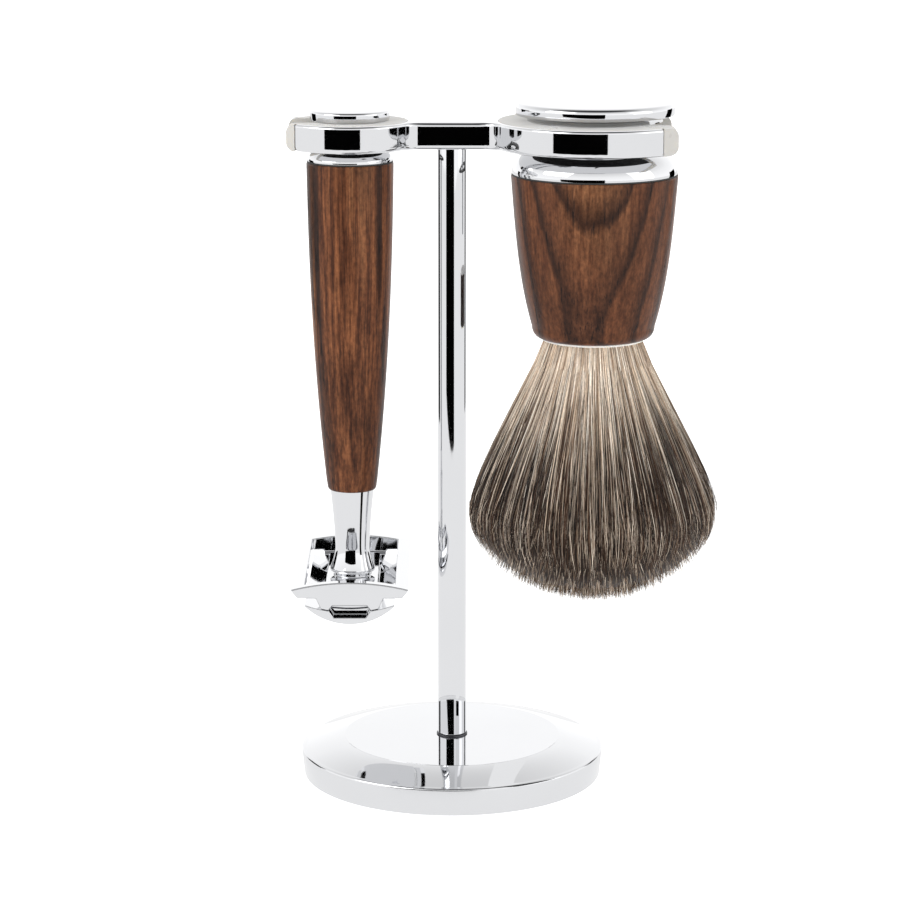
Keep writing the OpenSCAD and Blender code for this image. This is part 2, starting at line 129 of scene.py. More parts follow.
def ramp(nt, fac, stops):
    """Colour ramp through (position, colour) stops."""
    n = nt.nodes.new("ShaderNodeValToRGB")
    elements = n.color_ramp.elements
    while len(elements) < len(stops):
        elements.new(0.5)
    for element, (position, colour) in zip(elements, stops):
        element.position = position
        element.color = (*colour, 1)
    link(nt, fac, n.inputs["Fac"])
    return n.outputs["Color"]


def span(nt, fac, from_low, from_high, to_low, to_high):
    """Maps fac from one range to another, clamped."""
    n = nt.nodes.new("ShaderNodeMapRange")
    for i, v in enumerate((from_low, from_high, to_low, to_high), start=1):
        n.inputs[i].default_value = v
    link(nt, fac, n.inputs[0])
    return n.outputs[0]


def math_node(nt, op, *operands):
    n = nt.nodes.new("ShaderNodeMath")
    n.operation = op
    for sock, v in zip(n.inputs, operands):
        if isinstance(v, (int, float)):
            sock.default_value = v
        else:
            link(nt, v, sock)
    return n.outputs[0]


def plus(nt, a, b):
    return math_node(nt, "ADD", a, b)


def times(nt, a, b):
    return math_node(nt, "MULTIPLY", a, b)


def mix_colour(nt, fac, a, b, blend="MIX"):
    n = nt.nodes.new("ShaderNodeMix")
    n.data_type = "RGBA"
    n.blend_type = blend
    for sock, v in ((n.inputs["Factor"], fac), (n.inputs[6], a), (n.inputs[7], b)):
        if isinstance(v, (int, float)):
            sock.default_value = v
        elif isinstance(v, tuple):
            sock.default_value = (*v, 1)
        else:
            link(nt, v, sock)
    return n.outputs[2]


def shade(nt, tone, fac, stops):
    """Multiplies a colour by a ramp over fac."""
    return mix_colour(nt, 1.0, tone, ramp(nt, fac, stops), "MULTIPLY")


def bump(nt, bsdf, height, strength, distance):
    n = node(nt, "ShaderNodeBump", Strength=strength, Distance=distance)
    link(nt, height, n.inputs["Height"])
    link(nt, n.outputs["Normal"], bsdf.inputs["Normal"])


# ---------------------------------------------------------------- materials
CHROME_TINT = (0.715, 0.72, 0.735)


def scaled(colour, factor):
    return tuple(v * factor for v in colour)


def chrome(name, rough_low, rough_high, satin=None):
    """Polished metal with a faint haze. satin (z, z, extra): up to the first height the metal is rougher by
    extra, and from the second height on it isn't."""
    mat, nt, b = new_material(name)
    b.inputs["Metallic"].default_value = 1.0
    fine = noise(nt, coords(nt), 900, 3)
    haze = noise(nt, coords(nt), 45, 3, 0.6)
    link(nt, ramp(nt, haze, [(0.3, CHROME_TINT), (0.75, scaled(CHROME_TINT, 1.025))]), b.inputs["Base Color"])
    rough = span(nt, haze, 0.3, 0.7, rough_low, rough_high)
    if satin is not None:
        dull_z, bright_z, extra = satin
        rough = plus(nt, rough, span(nt, axes(nt)["Z"], dull_z, bright_z, extra, 0.0))
    link(nt, rough, b.inputs["Roughness"])
    bump(nt, b, fine, 0.02, 0.00001)
    return mat


# wood colours as ramp stops over the fibre noise
BASE_TONES = {
    "straight": [(0.36, (0.045, 0.015, 0.007)), (0.5, (0.112, 0.040, 0.017)), (0.65, (0.215, 0.083, 0.034))],
    "arched": [(0.32, (0.070, 0.024, 0.011)), (0.5, (0.112, 0.041, 0.018)), (0.70, (0.165, 0.064, 0.028))],
}
GOLD_TONES = [(0.36, (0.15, 0.062, 0.026)), (0.64, (0.42, 0.20, 0.09))]
DARK_TONES = [(0.36, (0.010, 0.005, 0.004)), (0.66, (0.050, 0.020, 0.011))]
SLOW_TONES = [(0.3, (0.74, 0.72, 0.72)), (0.7, (1.22, 1.17, 1.12))]
SPECK_TONES = [(0.3, (0.60, 0.59, 0.58)), (0.7, (1.24, 1.21, 1.17))]
PORE_COLOUR = (0.010, 0.005, 0.004)
GOLD_SHARE = {"straight": 0.75, "arched": 0.45}
PALE_WOOD_PORES = {"straight": 0.35, "arched": 0.16}

# growth rings of the arched figure, in metres
RING_AXIS_SHIFT = 0.0008
RING_AXIS_LEAN = 0.112
RING_AXIS_DEPTH = 0.0052
RING_WIDENING = 0.17
RING_WOBBLE = 0.0019
RINGS_PER_METRE = 372
RING_PHASE = 19.85


def straight_figure(nt, seed):
    """Flat-sawn face: dark and golden streaks of every width that drift slowly along the grip."""
    broad = noise(nt, coords(nt, scale=(1, 0.6, 0.022), at=(seed, 0.013, 0)), 210, 5, 0.62, 0.25)
    warm = noise(nt, coords(nt, scale=(1, 0.6, 0.03), at=(seed + 0.4, 0, 0)), 150, 3, 0.5)
    return span(nt, broad, 0.505, 0.60, 0.0, 1.0), span(nt, warm, 0.47, 0.60, 0.0, 1.0)


def arched_figure(nt, x0, seed, fibre):
    """Growth rings round an axis behind the face, wider upwards, so that they meet it in hanging arches."""
    place = axes(nt)
    wobble = noise(nt, coords(nt, scale=(1, 1, 0.3), at=(seed, 0, 0)), 95, 3, 0.5)
    dx = math_node(nt, "SUBTRACT", place["X"], x0 - RING_AXIS_SHIFT)
    lean = math_node(nt, "MULTIPLY_ADD", place["Z"], RING_AXIS_LEAN, -RING_AXIS_DEPTH)
    dy = plus(nt, place["Y"], lean)
    reach = math_node(nt, "SQRT", plus(nt, times(nt, dx, dx), times(nt, dy, dy)))
    reach = math_node(nt, "SUBTRACT", reach, times(nt, place["Z"], RING_WIDENING))
    reach = plus(nt, reach, times(nt, wobble, RING_WOBBLE))
    ring = math_node(nt, "FRACT", math_node(nt, "MULTIPLY_ADD", reach, RINGS_PER_METRE, RING_PHASE))
    sharp_side = span(nt, ring, 0.0, 0.12, 1.0, 0.0)
    soft_side = math_node(nt, "POWER", span(nt, ring, 0.52, 0.95, 0.0, 1.0), 1.4)
    late = math_node(nt, "MAXIMUM", sharp_side, soft_side)
    late = times(nt, late, span(nt, fibre, 0.35, 0.55, 0.85, 1.0))
    gold = times(nt, span(nt, place["Z"], 0.104, 0.122, 0.0, 1.0),
                 span(nt, math_node(nt, "ABSOLUTE", dx), 0.002, 0.009, 0.9, 0.0))
    return late, gold


def wood(name, x0, grain, seed):
    """Steamed ash: dark growth lines or streaks, short open pores along the grain, slow changes of tone."""
    mat, nt, b = new_material(name)
    fibre = noise(nt, coords(nt, scale=(1, 1, 0.03), at=(seed * 2, 0, 0)), 1100, 5, 0.65)
    speck = noise(nt, coords(nt, scale=(1, 1, 0.55), at=(seed * 5, 0, 0)), 1500, 3, 0.6)
    slow = noise(nt, coords(nt, scale=(1, 1, 0.3), at=(seed * 3, 0, 0)), 75, 3, 0.55)
    pores = noise(nt, coords(nt, scale=(1, 1, 0.06), at=(seed, 0, 0)), 2300, 3, 0.62)
    late, gold = straight_figure(nt, seed) if grain == "straight" else arched_figure(nt, x0, seed, fibre)
    tone = ramp(nt, fibre, BASE_TONES[grain])
    tone = mix_colour(nt, times(nt, gold, GOLD_SHARE[grain]), tone, ramp(nt, fibre, GOLD_TONES))
    tone = mix_colour(nt, times(nt, late, 0.92), tone, ramp(nt, fibre, DARK_TONES))
    tone = shade(nt, tone, slow, SLOW_TONES)
    tone = shade(nt, tone, speck, SPECK_TONES)
    pore_share = span(nt, late, 0, 1, PALE_WOOD_PORES[grain], 1.0)
    pore_mask = times(nt, span(nt, pores, 0.36, 0.45, 1.0, 0.0), pore_share)
    tone = mix_colour(nt, pore_mask, tone, PORE_COLOUR)
    link(nt, tone, b.inputs["Base Color"])
    rough = plus(nt, span(nt, fibre, 0.2, 0.8, 0.30, 0.40), times(nt, pore_mask, 0.25))
    link(nt, rough, b.inputs["Roughness"])
    b.inputs["Coat Weight"].default_value = 0.04
    b.inputs["Coat Roughness"].default_value = 0.22
    b.inputs["Specular IOR Level"].default_value = 0.14
    bump(nt, b, math_node(nt, "SUBTRACT", times(nt, fibre, 0.4), pore_mask), 0.35, 0.00008)
    return mat


def plastic(name, colour, rough):
    """Moulded plastic with light passing a little way into it."""
    mat, nt, b = new_material(name)
    n = noise(nt, coords(nt), 160, 4, 0.55)
    link(nt, ramp(nt, n, [(0.3, scaled(colour, 0.93)), (0.7, colour)]), b.inputs["Base Color"])
    link(nt, span(nt, n, 0.3, 0.7, rough * 0.85, rough * 1.2), b.inputs["Roughness"])
    b.inputs["Subsurface Weight"].default_value = 0.35
    b.inputs["Subsurface Radius"].default_value = (0.004, 0.003, 0.002)
    bump(nt, b, noise(nt, coords(nt), 1500, 2), 0.06, 0.00002)
    return mat


def plain(name, colour, rough, grain=1200, depth=0.15, metallic=0.0):
    """Even material with a fine grain, for steel, rubber and resin."""
    mat, nt, b = new_material(name)
    n = noise(nt, coords(nt), grain, 4, 0.6)
    link(nt, ramp(nt, n, [(0.3, scaled(colour, 0.75)), (0.75, colour)]), b.inputs["Base Color"])
    link(nt, span(nt, n, 0.3, 0.7, rough * 0.9, min(1, rough * 1.15)), b.inputs["Roughness"])
    b.inputs["Metallic"].default_value = metallic
    bump(nt, b, n, depth, 0.00005)
    return mat


def hair_material():
    """Hair: each strand's own tones, broken up along its length."""
    mat, nt, b = new_material("badger_hair")
    strand = nt.nodes.new("ShaderNodeVertexColor")
    strand.layer_name = "Tone"
    fine = noise(nt, coords(nt, scale=(1, 1, 0.1)), 3500, 2)
    tone = shade(nt, strand.outputs["Color"], fine, [(0.2, (0.7, 0.7, 0.7)), (0.8, (1.2, 1.18, 1.15))])
    link(nt, tone, b.inputs["Base Color"])
    link(nt, span(nt, fine, 0.2, 0.8, 0.38, 0.55), b.inputs["Roughness"])
    b.inputs["Specular IOR Level"].default_value = 0.10
    return mat


CHROME = chrome("polished_chrome", 0.025, 0.05)
# the base's outer wall is a little duller than its top
CHROME_BASE = chrome("base_chrome", 0.03, 0.055, satin=(0.0057, 0.0060, 0.14))
STEEL = plain("plain_steel", (0.50, 0.51, 0.53), 0.34, 1500, 0.1, 1.0)
# painted shade: the washer at the post's foot is near-black to stand for the shadow where the post meets the
# base
WASHER_PAINTED_SHADE = plain("washer_shadow", (0.10, 0.10, 0.11), 0.35, 1500, 0.1, 1.0)
LINER = plastic("liner_plastic", (0.50, 0.485, 0.455), 0.3)
SOCKET = plastic("socket_plastic", (0.80, 0.78, 0.74), 0.3)
SEAL = plain("seal_rubber", (0.02, 0.02, 0.02), 0.6)
PAD = plain("pad_rubber", (0.05, 0.05, 0.052), 0.8, 900, 0.4)
RESIN = plain("knot_resin", (0.50, 0.40, 0.24), 0.5)
GRIP_WOOD = wood("ash_straight", RAZOR_X, "straight", 0.31)
HANDLE_WOOD = wood("ash_arched", BRUSH_X, "arched", 0.87)
HAIR = hair_material()


# ---------------------------------------------------------------- geometry helpers
def make_object(name, verts, faces, mat):
    """A smooth-shaded mesh object with one material."""
    me = bpy.data.meshes.new(name)
    me.from_pydata(verts, [], faces)
    me.update()
    me.materials.append(mat)
    me.polygons.foreach_set("use_smooth", [True] * len(me.polygons))
    ob = bpy.data.objects.new(name, me)
    scene.collection.objects.link(ob)
    return ob


def shares(count, first=0):
    """Even shares of a whole, from first / count up to 1."""
    return [i / count for i in range(first, count + 1)]


def arc(r, z, wide, tall, first, last, step):
    """Points (r, z) of an elliptic arc with half axes wide and tall, from first degrees to before last."""
    return [(r + wide * math.cos(deg(a)), z + tall * math.sin(deg(a))) for a in range(first, last, step)]


def dome(r, z, rise, count):
    """Points (r, z) of a shallow dome from its edge in to the axis."""
    return [(r * s, z + rise * (1 - s * s)) for s in reversed(shares(count))]


def rounded(points, radius, steps=5):
    """A profile (r, z) with each corner named in radius (index: size) rounded."""
    out = []
    for i, p in enumerate(points):
        if i not in radius:
            out.append(p)
            continue
        corner = Vector(p)
        a = Vector(points[i - 1]) - corner
        b = Vector(points[i + 1]) - corner
        cut = min(radius[i] / math.tan(a.angle(b) / 2), a.length * 0.48, b.length * 0.48)
        start = corner + a.normalized() * cut
        end = corner + b.normalized() * cut
        for s in shares(steps):
            q = start.lerp(corner, s).lerp(corner.lerp(end, s), s)
            out.append((q.x, q.y))
    return out


def rod(r, z0, z1, radius):
    """Profile of a cylinder with its two edges rounded."""
    return rounded([(0, z0), (r, z0), (r, z1), (0, z1)], radius)


def lathe(name, profile, x0, mat, segments, angle):
    """Solid of revolution round the vertical axis at x0, from (r, z) points in millimetres that start and end
    on the axis. Edges sharper than angle stay sharp."""
    verts, faces, rows = [], [], []
    for r, z in profile:
        first = len(verts)
        if r < 1e-6:
            rows.append([first])
            verts.append((x0, 0.0, z * MM))
            continue
        rows.append(list(range(first, first + segments)))
        for k in range(segments):
            a = 2 * math.pi * k / segments
            verts.append((x0 + r * MM * math.cos(a), r * MM * math.sin(a), z * MM))
    for a, b in zip(rows, rows[1:]):
        for k in range(segments):
            j = (k + 1) % segments
            if len(a) == 1:
                faces.append((a[0], b[j], b[k]))
            elif len(b) == 1:
                faces.append((a[k], a[j], b[0]))
            else:
                faces.append((a[k], a[j], b[j], b[k]))
    ob = make_object(name, verts, faces, mat)
    ob.data.set_sharp_from_angle(angle=deg(angle))
    return ob


def weigh_edges(bm, limit, weight):
    """Gives each edge sharper than limit its share of the bevel, from its middle and whether it's upright."""
    layer = bm.edges.layers.float.new("bevel_weight_edge")
    for e in bm.edges:
        if len(e.link_faces) == 2 and e.calc_face_angle(0) > deg(limit):
            a, b = (v.co for v in e.verts)
            e[layer] = weight((a + b) / 2, abs(a.z - b.z) > 1e-4)


def bevelled_copy(node_name, name, mat, width, segments=3, limit=40, weight=None, clamp=True):
    """A copy of a CAD node's mesh with welded facets and rounded edges, which stands for the node. weight
    gives each sharp edge's share of the width."""
    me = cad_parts[node_name].data.copy()
    ob = bpy.data.objects.new(name, me)
    scene.collection.objects.link(ob)
    bm = bmesh.new()
    bm.from_mesh(me)
    bmesh.ops.remove_doubles(bm, verts=bm.verts, dist=2e-6)
    bmesh.ops.dissolve_limit(bm, angle_limit=deg(1.0), verts=bm.verts, edges=bm.edges)
    if weight:
        weigh_edges(bm, limit, weight)
    bm.to_mesh(me)
    bm.free()
    if me.has_custom_normals:
        with bpy.context.temp_override(object=ob, active_object=ob):
            bpy.ops.mesh.customdata_custom_splitnormals_clear()
    me.materials.clear()
    me.materials.append(mat)
    mod = ob.modifiers.new("edges", "BEVEL")
    mod.width = width * MM
    mod.segments = segments
    mod.limit_method = "WEIGHT" if weight else "ANGLE"
    mod.angle_limit = deg(limit)
    mod.use_clamp_overlap = clamp and not weight
    mod.harden_normals = True
    me.polygons.foreach_set("use_smooth", [True] * len(me.polygons))
    me.set_sharp_from_angle(angle=deg(limit))
    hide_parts(node_name)
    return ob


def paint(node_name, mat):
    """Gives a CAD piece that stays as it is its material."""
    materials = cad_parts[node_name].data.materials
    materials.clear()
    materials.append(mat)


def add(ob, body):
    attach(ob, body)
    return ob


# ---------------------------------------------------------------- stand
def base_disc():
    """Disc with a straight wall, a sloping outer band and a flat middle."""
    wall_h, lip, band_w, band_h = 5.7, 0.75, 8.55, 2.1
    z0, z1 = heights("base_plate")
    r = high("base_plate").x / MM
    rim = z0 + wall_h
    band = [(r - lip - band_w * s, rim + band_h * (1.25 * s - 0.25 * s ** 3)) for s in shares(24)]
    flat_r = band[-1][0]
    profile = [(0, z0), (r - lip, z0), (r - 0.5, z0 + 0.25)]
    profile += [(r - 0.02, rim - 0.45), (r - 0.12, rim - 0.16), (r - 0.35, rim - 0.03)] + band[:-1]
    profile += [(flat_r + 0.35, z1 - 0.012), (flat_r - 0.5, z1), (4.0, z1), (0, z1)]
    base = lathe("base_disc", rounded(profile, {1: 0.2, 2: 0.2}), 0.0, CHROME_BASE, 256, 50)
    add(base, "stand")
    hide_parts("base_plate")


def post_rod():
    z0, z1 = heights("post")
    post = lathe("post_rod", rod(high("post").x / MM, z0, z1, {1: 0.25, 2: 0.1}), 0.0, CHROME, 128, 40)
    add(post, "stand")
    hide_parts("post")


def post_foot_ring():
    z0, z1 = heights("post_foot_washer")
    profile = rod(high("post_foot_washer").x / MM, z0, z1, {1: 0.08, 2: 0.12})
    # painted shade: the ring gets the near-black material that stands for the shadow at the post's foot
    washer = lathe("post_foot_ring", profile, 0.0, WASHER_PAINTED_SHADE, 96, 40)
    add(washer, "stand")
    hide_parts("post_foot_washer")


def yoke_weight(mid, upright):
    """Outer edges are fully rounded, less where the rim beside a liner is narrow, inner edges just a bit."""
    upright_share, bore_share, rim_share = 0.3, 0.15, 0.5
    narrow_rim, full_width_after = 0.0012, 0.004
    if upright:
        return upright_share
    share = 1.0
    for liner, x in (("razor_ring_liner", RAZOR_X), ("brush_ring_liner", BRUSH_X)):
        away = math.hypot(mid.x - x, mid.y) - high(liner).y
        if away < 0.0005:
            return bore_share
        if mid.z > high("yoke").z - 0.0002:
            grown = max(0.0, away - narrow_rim) / full_width_after
            share = min(share, rim_share + (1 - rim_share) * grown)
    return share


base_disc()
post_rod()
post_foot_ring()
paint("base_pad", PAD)
paint("base_screw", STEEL)
paint("base_screw_washer", STEEL)
paint("yoke_stud", STEEL)
add(bevelled_copy("yoke", "yoke_casting", CHROME, 1.1, 6, 40, yoke_weight), "stand")
add(bevelled_copy("razor_ring_liner", "razor_liner_moulding", LINER, 0.28, 3), "stand")
add(bevelled_copy("brush_ring_liner", "brush_liner_moulding", LINER, 0.3, 3), "stand")


# ---------------------------------------------------------------- razor
def razor_end_knob():
    """Spigot, rounded collar, thin neck that sits in the ring, and flat cap."""
    spigot_r, spigot_h = 4.5, 5.0
    collar_h, neck_r, neck_h = 2.1, 3.5, 5.85
    cap_r, edge_r, dome_rise = 7.95, 0.55, 0.45
    z0 = low("razor_end_cap").z / MM
    collar_low = z0 + spigot_h
    collar_top = collar_low + collar_h
    seat = collar_top + neck_h
    collar_r = high("razor_grip").x / MM - RAZOR_X / MM
    profile = [(0, z0), (spigot_r, z0), (spigot_r, collar_low), (collar_r - 0.15, collar_low)]
    profile += arc(collar_r - 2.6, collar_low, 2.5, collar_h, 5, 91, 6)
    profile += [(neck_r, collar_top), (neck_r, seat)]
    profile += [(cap_r - 0.45, seat), (cap_r - 0.12, seat + 0.12), (cap_r, seat + 0.42)]
    profile += arc(cap_r - edge_r, seat + 1.57, edge_r, 0.52, 0, 86, 8)
    profile += dome(cap_r - 0.5, seat + 2.1, dome_rise, 24)
    knob = lathe("razor_end_knob", profile, RAZOR_X, CHROME, 192, 45)
    add(knob, "razor_handle")
    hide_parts("razor_end_cap")
    return knob


def razor_grip():
    """Wooden grip that tapers downwards ever faster, with a rounded foot."""
    top_r, taper, foot_h = 8.7, 3.75, 1.1
    z0, z1 = heights("razor_grip")
    length = z1 - z0

    def radius(s):
        return top_r - taper * (0.24 * s + 0.76 * s ** 2.3)

    profile = [(0, z0), (4.5, z0)] + arc(4.6, z0 + foot_h, 0.42, foot_h, -90, 1, 12)
    side = [(1 - foot_h / length) * s for s in shares(80, 1)[:-1]]
    profile += [(radius(s), z1 - length * s) for s in reversed(side)]
    profile += [(top_r - 0.01, z1 - 0.25), (top_r - 0.14, z1 - 0.06), (top_r - 0.3, z1), (0, z1)]
    grip = lathe("razor_grip_wood", profile, RAZOR_X, GRIP_WOOD, 128, 50)
    add(grip, "razor_handle")
    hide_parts("razor_grip")
    return grip


def razor_neck():
    """Neck, waisted between a flared foot on the plate and a wider top under the grip, with a spigot."""
    foot_r, waist_r, waist_h = 4.6, 3.5, 5.0
    flare_h, upper_h, spigot_r, spigot_h = 4.5, 12, 3.0, 4.9
    z0 = low("razor_neck").z / MM
    waist_z = z0 + waist_h
    top_z = waist_z + upper_h
    profile = [(0, z0), (4.3, z0), (4.52, z0 + 0.07), (foot_r, z0 + 0.3), (foot_r, z0 + 0.5)]
    profile += [(waist_r + 1.1 * s ** 1.7, waist_z - flare_h * s) for s in reversed(shares(20)[:-1])]
    profile += [(waist_r + 0.95 * s ** 1.4, waist_z + upper_h * s) for s in shares(24, 1)]
    profile += [(spigot_r, top_z), (spigot_r, top_z + spigot_h), (0, top_z + spigot_h)]
    neck = lathe("razor_neck_turned", profile, RAZOR_X, CHROME, 160, 45)
    add(neck, "razor_handle")
    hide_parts("razor_neck")


razor_knob = razor_end_knob()
paint("razor_grip_seal", SEAL)
paint("razor_tie_rod", STEEL)
grip_wood = razor_grip()
razor_neck()
guard = bevelled_copy("razor_guard_plate", "razor_guard_casting", CHROME, 0.24, 4, 50, clamp=False)
add(guard, "guard_plate")
add(bevelled_copy("razor_top_cap", "razor_cap_casting", CHROME, 0.12, 3, 35), "top_cap")


# ---------------------------------------------------------------- brush
def brush_end_knob():
    """Spigot, domed collar, thin neck that sits in the ring, and cap with a bevelled underside."""
    spigot_r, spigot_h = 9, 6.0
    collar_r, collar_h, neck_r, neck_h = 16.7, 4.6, 8.1, 5.85
    cap_r, bevel_h, side_h, edge_r, dome_rise = 15.9, 1.25, 2.4, 1.1, 0.56
    z0 = low("brush_end_cap").z / MM
    collar_low = z0 + spigot_h
    collar_top = collar_low + collar_h
    seat = collar_top + neck_h
    side_low = seat + bevel_h
    side_top = side_low + side_h
    profile = [(0, z0), (spigot_r, z0), (spigot_r, collar_low), (collar_r - 0.15, collar_low)]
    profile += arc(collar_r - 5.3, collar_low, 5.2, collar_h, 4, 91, 4)
    profile += [(neck_r, collar_top), (neck_r, seat)]
    profile += arc(cap_r - 0.2, seat, 2.2, bevel_h, 180, 89, -7)
    profile += [(cap_r - 0.06, side_low + 0.04), (cap_r, side_low + 0.12)]
    profile += arc(cap_r - edge_r, side_top - 0.97, edge_r, 1.0, 0, 86, 5)
    profile += dome(cap_r - 1.05, side_top + 0.04, dome_rise, 32)
    knob = lathe("brush_end_knob", profile, BRUSH_X, CHROME, 256, 45)
    add(knob, "brush")
    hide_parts("brush_end_cap")
    return knob


def brush_handle():
    """Wooden handle that narrows downwards, with a rounded foot round the socket."""
    top_r, taper, foot_h, socket_r = 16.7, 5.1, 2.4, 10.35
    z0, z1 = heights("brush_handle")
    length = z1 - z0
    foot_s = 1 - foot_h / length

    def radius(s):
        return top_r - taper * (0.515 * s + 0.485 * s ** 3.4)

    profile = [(0, z0), (socket_r - 0.05, z0)]
    profile += arc(socket_r, z0 + foot_h, radius(foot_s) - socket_r, foot_h, -90, -5, 7)
    profile += [(radius(foot_s * s), z1 - length * foot_s * s) for s in reversed(shares(60, 1))]
    profile += [(top_r - 0.02, z1 - 0.3), (top_r - 0.16, z1 - 0.07), (top_r - 0.35, z1), (0, z1)]
    handle = lathe("brush_handle_wood", profile, BRUSH_X, HANDLE_WOOD, 192, 50)
    add(handle, "brush")
    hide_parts("brush_handle")
    return handle


def knot_socket():
    """Cream ring with a lip that shows under the handle, and its cup inside it."""
    cup_r, lip_r, cup_h = 9.9, 10.3, 11.4
    z0 = low("knot_socket").z / MM
    profile = [(0, z0 + 0.2), (9.2, z0 + 0.2), (9.6, z0), (lip_r, z0), (lip_r, z0 + 0.45)]
    profile += [(cup_r, z0 + 0.5), (cup_r, z0 + cup_h), (0, z0 + cup_h)]
    socket = lathe("knot_socket_ring", rounded(profile, {3: 0.15, 2: 0.1}), BRUSH_X, SOCKET, 128, 45)
    add(socket, "brush")
    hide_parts("knot_socket")


brush_knob = brush_end_knob()
paint("brush_handle_seal", SEAL)
paint("brush_tie_screw", STEEL)
handle_wood = brush_handle()
knot_socket()
paint("knot_plug", RESIN)


# ---------------------------------------------------------------- hair knot
AXIS = BRUSH_X / MM
ROOT_R = 9.3
BULGE_H = 18.0
TIP_Z = low("hair_knot").z / MM
ROOT_Z = low("knot_socket").z / MM
SPREAD = (high("hair_knot").x - low("hair_knot").x) / 2 / MM
BULGE_Z = TIP_Z + BULGE_H
FLARE_H = ROOT_Z - BULGE_Z

CREAM = [(0.84, 0.71, 0.58), (0.70, 0.57, 0.44), (0.96, 0.88, 0.77), (0.40, 0.29, 0.21)]
DARK = [(0.016, 0.010, 0.007), (0.007, 0.005, 0.004), (0.038, 0.022, 0.014), (0.080, 0.042, 0.025)]
GREY = [(0.48, 0.37, 0.28), (0.26, 0.18, 0.125), (0.74, 0.63, 0.52)]

TUFTS = 110
tufts = [rng.random() for _ in range(TUFTS)]


def surface(u):
    """Point (r, z) on the knot's outer shape: u 0 to 1 goes down the flared side, 1 to 2 round the end."""
    if u <= 1:
        return ROOT_R + (SPREAD - ROOT_R) * (1.13 * u - 0.13 * u ** 6), ROOT_Z - FLARE_H * u
    a = deg(90 * (u - 1))
    return SPREAD * math.cos(a), BULGE_Z - BULGE_H * math.sin(a)


def lerp3(a, b, t):
    return tuple(a[i] + (b[i] - a[i]) * t for i in range(3))


def ease(t):
    t = max(0.0, min(1.0, t))
    return t * t * (3 - 2 * t)


def tuft(theta):
    """How dark the tuft of hairs at this angle is, 0 to 1, fading from one tuft to the next."""
    k = (theta / (2 * math.pi) % 1) * TUFTS
    i = int(k) % TUFTS
    return tufts[i] + (tufts[(i + 1) % TUFTS] - tufts[i]) * ease(k - int(k))


def hair_tones(theta):
    """Tone along one hair as a function of its place between root (0) and tip (1)."""
    cream, dark, grey = rng.choice(CREAM), rng.choice(DARK), rng.choice(GREY)
    kind = rng.random()
    heavy = tuft(theta)
    start = rng.uniform(0.03, 0.34) + 0.08 * (1 - heavy)
    if kind < 0.36 - 0.22 * heavy:
        return lambda t: lerp3(cream, grey, 0.8 * ease((t - start) / 0.5))
    if kind > 0.94:
        return lambda t: lerp3(dark, DARK[3], 0.3)
    tip_light = rng.random() < 0.46 - 0.2 * heavy

    def tone(t):
        col = lerp3(cream, dark, ease((t - start + 0.05) / 0.22))
        if tip_light:
            col = lerp3(col, grey, ease((t - 0.84) / 0.12))
        return col

    return tone


def set_tones(ob, tones):
    """Stores one colour per vertex, which the hair's material reads."""
    attr = ob.data.color_attributes.new("Tone", "FLOAT_COLOR", "POINT")
    attr.data.foreach_set("color", [v for tone in tones for v in (*tone, 1.0)])


def hairs(name, strands):
    """One mesh of thin tapered ribbons. Each strand: points, widths, the way the ribbon faces, its tones."""
    verts, faces, tones = [], [], []
    for points, widths, facing, cols in strands:
        last = len(points) - 1
        first = len(verts)
        for i, p in enumerate(points):
            along = (points[min(i + 1, last)] - points[max(i - 1, 0)]).normalized()
            side = along.cross(facing).normalized() * widths[i] * 0.5
            corners = [p] if i == last else [p - side, p + side]
            verts += corners
            tones += [cols[i]] * len(corners)
        for a in range(first, first + 2 * (last - 1), 2):
            faces.append((a, a + 1, a + 3, a + 2))
        tip = first + 2 * last
        faces.append((tip - 2, tip - 1, tip))
    ob = make_object(name, [tuple(v * MM) for v in verts], faces, HAIR)
    set_tones(ob, tones)
    return add(ob, "brush")


def side_hair(depth, u_end, theta, swing, lift):
    """A hair from the root down the flared side, depth inside it, to u_end, where it lifts off the shape."""
    count = 9
    before_root = 0.02
    points, widths, cols = [], [], []
    tone = hair_tones(theta)
    wave = rng.uniform(0, 6.28)
    sway = rng.uniform(0.0, 0.25)
    width = rng.uniform(0.13, 0.24)
    # painted shade: besides a random tone, hairs lying deeper inside the knot are darker
    dim = rng.uniform(0.74, 1.2) * (1 - 0.28 * depth)
    for t in shares(count - 1):
        u = (u_end + before_root) * t - before_root
        r, z = surface(u) if u > 0 else (ROOT_R + 0.2, ROOT_Z - FLARE_H * u)
        r = max(0.5, r - depth * (0.4 + 1.2 * t) + lift * t ** 3)
        a = theta + swing * t * t + sway * math.sin(wave + 4 * t) / max(r, 6)
        points.append(Vector((AXIS + r * math.cos(a), r * math.sin(a), z)))
        widths.append(width * (1 - 0.55 * t))
        place = u / 1.45 if u_end > 0.8 else u / u_end * 0.7
        cols.append(scaled(tone(min(1, place)), dim))
    tilt = rng.uniform(-1.1, 1.1)
    return points, widths, Vector((math.cos(theta + tilt), math.sin(theta + tilt), 0.1)), cols


